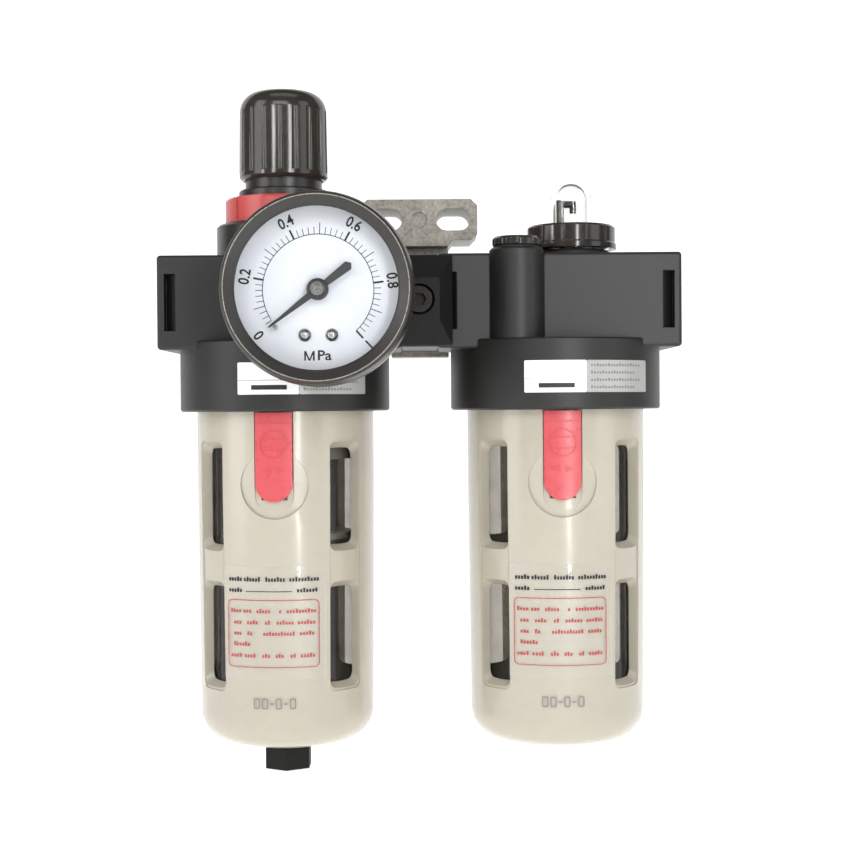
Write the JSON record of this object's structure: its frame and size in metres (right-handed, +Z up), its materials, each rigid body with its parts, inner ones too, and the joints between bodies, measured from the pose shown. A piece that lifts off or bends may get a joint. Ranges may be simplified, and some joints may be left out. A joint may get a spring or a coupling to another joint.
{
  "type": "filter regulator lubricator",
  "caption": "Compressed-air service unit: a filter regulator with gauge and locking knob beside a lubricator with sight dome, clamped to a slotted wall bracket.",
  "frame": {"origin": "midway between the two bracket slots, on the bracket's wall face", "axes": "+X from the inlet to the outlet, +Y into the wall, +Z up"},
  "size_m": [0.172, 0.102, 0.2299],
  "materials": {
    "cast_black": "satin black paint on a die casting",
    "bonnet_black": "moulded black",
    "knob_black": "glossy moulded black",
    "ring_red": "moulded red",
    "guard_beige": "glossy moulded beige",
    "button_red": "glossy moulded coral red",
    "clear_bowl": "clear moulded plastic",
    "clear_lens": "clear moulded plastic",
    "bracket_grey": "dark bronze-grey painted casting",
    "clamp_black": "satin black paint",
    "black_steel": "blackened steel",
    "steel": "bright steel",
    "brass": "turned brass",
    "rubber": "matt black rubber",
    "white_plastic": "moulded white",
    "element": "sintered, porous",
    "bezel_black": "satin black paint on pressed steel",
    "dial_white": "white enamel with black print",
    "needle_black": "matt black paint"
  },
  "bodies": {
    "frame": {"mounting_bracket": "bracket_grey", "front_clamp": "clamp_black", "clamp_screws": "black_steel", "spacer_block": "cast_black", "spacer_seals": "rubber", "regulator_body": "cast_black", "bonnet": "bonnet_black", "bonnet_ring": "ring_red", "valve_guide": "white_plastic", "valve_spring": "steel", "diaphragm": "rubber", "regulating_spring": "steel", "deflector": "white_plastic", "filter_element": "element", "element_baffle": "white_plastic", "gauge_case": "bezel_black", "gauge_bezel": "bezel_black", "gauge_lens": "clear_lens", "gauge_dial": "dial_white", "gauge_stop_pin": "steel", "gauge_dial_screws": "steel", "gauge_movement": "brass", "bourdon_tube": "brass", "gauge_stem": "brass", "lubricator_body": "cast_black", "sight_seal": "rubber", "drip_tube": "brass", "damper_pin": "steel", "siphon_tube": "white_plastic", "siphon_strainer": "element"},
    "knob_screw": {"adjusting_screw": "steel"},
    "knob": {"adjusting_knob": "knob_black"},
    "nut": {"spring_nut": "steel"},
    "plate": {"diaphragm_plate": "brass"},
    "valve": {"valve_stem": "brass", "main_valve": "rubber"},
    "sector": {"gauge_sector": "brass"},
    "pointer": {"gauge_needle": "needle_black", "gauge_arbor": "steel"},
    "filter_cup": {"filter_guard": "guard_beige", "filter_bowl": "clear_bowl", "filter_bowl_seal": "rubber", "drain_seat": "white_plastic", "filter_button_spring": "steel"},
    "filter_release": {"filter_button": "button_red"},
    "drain": {"drain_knob": "knob_black"},
    "drain_pin": {"drain_stem": "brass", "drain_seal": "rubber"},
    "lubricator_cup": {"lubricator_guard": "guard_beige", "lubricator_bowl": "clear_bowl", "lubricator_bowl_seal": "rubber", "lubricator_button_spring": "steel"},
    "lubricator_release": {"lubricator_button": "button_red"},
    "drip_adjuster": {"drip_ring": "knob_black", "sight_dome": "clear_lens"},
    "needle_valve": {"drip_needle": "brass"},
    "plug_ring": {"fill_plug_seal": "rubber"},
    "filler": {"fill_plug": "knob_black"},
    "vane": {"damper_vane": "white_plastic"},
    "ball": {"check_ball": "steel"}
  },
  "joints": [
    {"name": "knob_turn", "type": "hinge", "parent": "frame", "child": "knob_screw", "pos_m": [-0.046, -0.04, 0.02], "axis": [0, 0, 1], "range_deg": [-1440, 0]},
    {"name": "knob_lock", "type": "slide", "parent": "knob_screw", "child": "knob", "axis": [0, 0, 1], "range_m": [-0.0026, 0]},
    {"name": "nut_travel", "type": "slide", "parent": "frame", "child": "nut", "axis": [0, 0, 1], "range_m": [-0.0061, 0], "deforming": ["regulating_spring"]},
    {"name": "plate_travel", "type": "slide", "parent": "frame", "child": "plate", "axis": [0, 0, 1], "range_m": [-0.0012, 0], "stiffness_N_per_m": 800, "springref_m": 0.001, "deforming": ["diaphragm"]},
    {"name": "valve_travel", "type": "slide", "parent": "frame", "child": "valve", "axis": [0, 0, 1], "range_m": [-0.00121, 0.00001], "stiffness_N_per_m": 800, "springref_m": 0.001, "deforming": ["valve_spring"]},
    {"name": "sector_swing", "type": "hinge", "parent": "frame", "child": "sector", "pos_m": [-0.0312, -0.086, -0.0433], "axis": [0, 1, 0], "range_deg": [-44.2, 0], "stiffness_Nm_per_rad": 0.01},
    {"name": "pointer_turn", "type": "hinge", "parent": "frame", "child": "pointer", "pos_m": [-0.0312, -0.093, -0.0293], "axis": [0, 1, 0], "range_deg": [-1, 266]},
    {"name": "filter_cup_turn", "type": "hinge", "parent": "frame", "child": "filter_cup", "pos_m": [-0.046, -0.04, -0.06], "axis": [0, 0, 1], "range_deg": [0, 47.8]},
    {"name": "filter_release_slide", "type": "slide", "parent": "filter_cup", "child": "filter_release", "axis": [0, 0, -1], "range_m": [0, 0.0035], "stiffness_N_per_m": 300, "springref_m": -0.0015, "deforming": ["filter_button_spring"]},
    {"name": "drain_turn", "type": "hinge", "parent": "filter_cup", "child": "drain", "pos_m": [-0.046, -0.04, -0.184], "axis": [0, 0, 1], "range_deg": [-360, 0]},
    {"name": "drain_pin_travel", "type": "slide", "parent": "filter_cup", "child": "drain_pin", "axis": [0, 0, 1], "range_m": [-0.00001, 0.00126]},
    {"name": "lubricator_cup_turn", "type": "hinge", "parent": "frame", "child": "lubricator_cup", "pos_m": [0.046, -0.04, -0.06], "axis": [0, 0, 1], "range_deg": [0, 45]},
    {"name": "lubricator_release_slide", "type": "slide", "parent": "lubricator_cup", "child": "lubricator_release", "axis": [0, 0, -1], "range_m": [0, 0.0035], "stiffness_N_per_m": 300, "springref_m": -0.0015, "deforming": ["lubricator_button_spring"]},
    {"name": "drip_turn", "type": "hinge", "parent": "frame", "child": "drip_adjuster", "pos_m": [0.0518, -0.04, -0.008], "axis": [0, 0, 1], "range_deg": [0, 300]},
    {"name": "needle_travel", "type": "slide", "parent": "frame", "child": "needle_valve", "axis": [0, 0, 1], "range_m": [-0.00001, 0.00063]},
    {"name": "plug_lift", "type": "slide", "parent": "frame", "child": "plug_ring", "axis": [0, 0, 1], "range_m": [-0.00001, 0.00752]},
    {"name": "plug_turn", "type": "hinge", "parent": "plug_ring", "child": "filler", "pos_m": [0.032, -0.062, -0.014], "axis": [0, 0, 1], "range_deg": [0, 1800]},
    {"name": "vane_swing", "type": "hinge", "parent": "frame", "child": "vane", "pos_m": [0.026, -0.04, -0.0268], "axis": [0, -1, 0], "range_deg": [0, 50]},
    {"name": "ball_lift", "type": "slide", "parent": "frame", "child": "ball", "axis": [0, 0, 1], "range_m": [0, 0.0008]}
  ],
  "couplings": [
    {"joint": "nut_travel", "follows": "knob_turn", "m_per_rad": 0.00023873},
    {"joint": "valve_travel", "follows": "plate_travel", "ratio": 1},
    {"joint": "pointer_turn", "follows": "sector_swing", "ratio": -6},
    {"joint": "drain_pin_travel", "follows": "drain_turn", "m_per_rad": -0.00019894},
    {"joint": "needle_travel", "follows": "drip_turn", "m_per_rad": 0.00011937},
    {"joint": "plug_lift", "follows": "plug_turn", "m_per_rad": 0.00023873}
  ]
}
